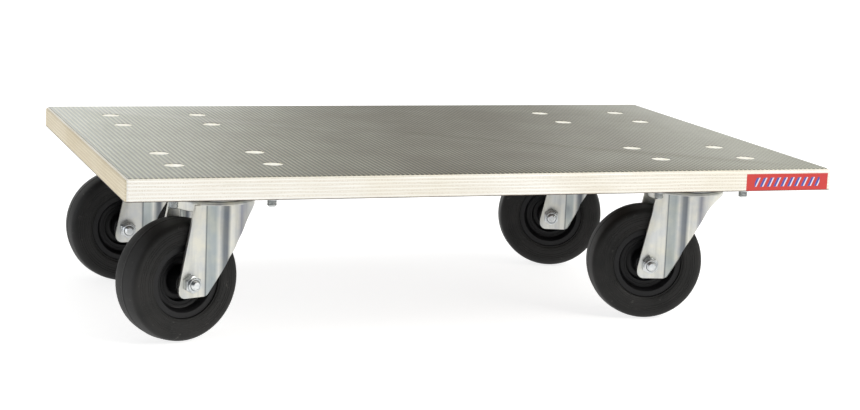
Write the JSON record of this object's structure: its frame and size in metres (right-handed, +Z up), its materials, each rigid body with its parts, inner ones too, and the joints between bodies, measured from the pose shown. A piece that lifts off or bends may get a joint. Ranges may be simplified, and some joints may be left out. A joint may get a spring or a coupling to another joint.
{
  "type": "platform dolly",
  "caption": "Low plywood platform dolly with an anti-slip top, carried on swivel castors with solid rubber tyres in pressed zinc-plated forks.",
  "frame": {"origin": "on the floor, under the middle of the platform", "axes": "+Z up; +X along the platform; -Y towards the long edge that carries the label"},
  "size_m": [0.6, 0.4, 0.1455],
  "materials": {
    "birch_plywood": "sanded and clear sealed edges",
    "antislip_film": "pressed wire-mesh pattern",
    "backing_film": "smooth phenolic film",
    "label_vinyl": "printed vinyl",
    "bolt_head_zinc": "zinc plated, lightly worn",
    "zinc_fastener": "bright zinc plating",
    "zinc_sheet": "blue-passivated zinc plating",
    "bearing_steel": "ground",
    "rim_plastic": "moulded polypropylene",
    "cage_plastic": "moulded nylon",
    "tyre_rubber": "moulded solid rubber"
  },
  "bodies": {
    "platform": {"deck_board": "birch_plywood", "antislip_film": "antislip_film", "backing_film": "backing_film", "edge_label": "label_vinyl", "mounting_bolts": "bolt_head_zinc", "mounting_nuts": "zinc_fastener", "front_left_mounting_plate": "zinc_sheet", "front_left_kingpin": "zinc_fastener", "front_left_lower_race": "zinc_sheet", "front_right_mounting_plate": "zinc_sheet", "front_right_kingpin": "zinc_fastener", "front_right_lower_race": "zinc_sheet", "rear_left_mounting_plate": "zinc_sheet", "rear_left_kingpin": "zinc_fastener", "rear_left_lower_race": "zinc_sheet", "rear_right_mounting_plate": "zinc_sheet", "rear_right_kingpin": "zinc_fastener", "rear_right_lower_race": "zinc_sheet"},
    "front_left_castor": {"front_left_fork": "zinc_sheet", "front_left_upper_balls": "bearing_steel", "front_left_lower_balls": "bearing_steel", "front_left_axle_bolt": "zinc_fastener", "front_left_axle_nut": "zinc_fastener", "front_left_axle_tube": "bearing_steel"},
    "front_left_wheel": {"front_left_wheel_rim": "rim_plastic", "front_left_tyre": "tyre_rubber", "front_left_roller_cage": "cage_plastic", "front_left_rollers": "bearing_steel"},
    "front_right_castor": {"front_right_fork": "zinc_sheet", "front_right_upper_balls": "bearing_steel", "front_right_lower_balls": "bearing_steel", "front_right_axle_bolt": "zinc_fastener", "front_right_axle_nut": "zinc_fastener", "front_right_axle_tube": "bearing_steel"},
    "front_right_wheel": {"front_right_wheel_rim": "rim_plastic", "front_right_tyre": "tyre_rubber", "front_right_roller_cage": "cage_plastic", "front_right_rollers": "bearing_steel"},
    "rear_left_castor": {"rear_left_fork": "zinc_sheet", "rear_left_upper_balls": "bearing_steel", "rear_left_lower_balls": "bearing_steel", "rear_left_axle_bolt": "zinc_fastener", "rear_left_axle_nut": "zinc_fastener", "rear_left_axle_tube": "bearing_steel"},
    "rear_left_wheel": {"rear_left_wheel_rim": "rim_plastic", "rear_left_tyre": "tyre_rubber", "rear_left_roller_cage": "cage_plastic", "rear_left_rollers": "bearing_steel"},
    "rear_right_castor": {"rear_right_fork": "zinc_sheet", "rear_right_upper_balls": "bearing_steel", "rear_right_lower_balls": "bearing_steel", "rear_right_axle_bolt": "zinc_fastener", "rear_right_axle_nut": "zinc_fastener", "rear_right_axle_tube": "bearing_steel"},
    "rear_right_wheel": {"rear_right_wheel_rim": "rim_plastic", "rear_right_tyre": "tyre_rubber", "rear_right_roller_cage": "cage_plastic", "rear_right_rollers": "bearing_steel"}
  },
  "joints": [
    {"name": "front_left_swivel", "type": "hinge", "parent": "platform", "child": "front_left_castor", "pos_m": [-0.21, -0.109, 0.1125], "axis": [0, 0, 1], "continuous": true},
    {"name": "front_left_roll", "type": "hinge", "parent": "front_left_castor", "child": "front_left_wheel", "pos_m": [-0.24215, -0.12007, 0.05], "axis": [0.3256, -0.9455, 0], "continuous": true},
    {"name": "front_right_swivel", "type": "hinge", "parent": "platform", "child": "front_right_castor", "pos_m": [0.21, -0.109, 0.1125], "axis": [0, 0, 1], "continuous": true},
    {"name": "front_right_roll", "type": "hinge", "parent": "front_right_castor", "child": "front_right_wheel", "pos_m": [0.17662, -0.10251, 0.05], "axis": [-0.1908, -0.9816, 0], "continuous": true},
    {"name": "rear_left_swivel", "type": "hinge", "parent": "platform", "child": "rear_left_castor", "pos_m": [-0.21, 0.109, 0.1125], "axis": [0, 0, 1], "continuous": true},
    {"name": "rear_left_roll", "type": "hinge", "parent": "rear_left_castor", "child": "rear_left_wheel", "pos_m": [-0.24398, 0.10781, 0.05], "axis": [0.0349, -0.9994, 0], "continuous": true},
    {"name": "rear_right_swivel", "type": "hinge", "parent": "platform", "child": "rear_right_castor", "pos_m": [0.21, 0.109, 0.1125], "axis": [0, 0, 1], "continuous": true},
    {"name": "rear_right_roll", "type": "hinge", "parent": "rear_right_castor", "child": "rear_right_wheel", "pos_m": [0.17766, 0.11951, 0.05], "axis": [-0.309, -0.9511, 0], "continuous": true}
  ]
}
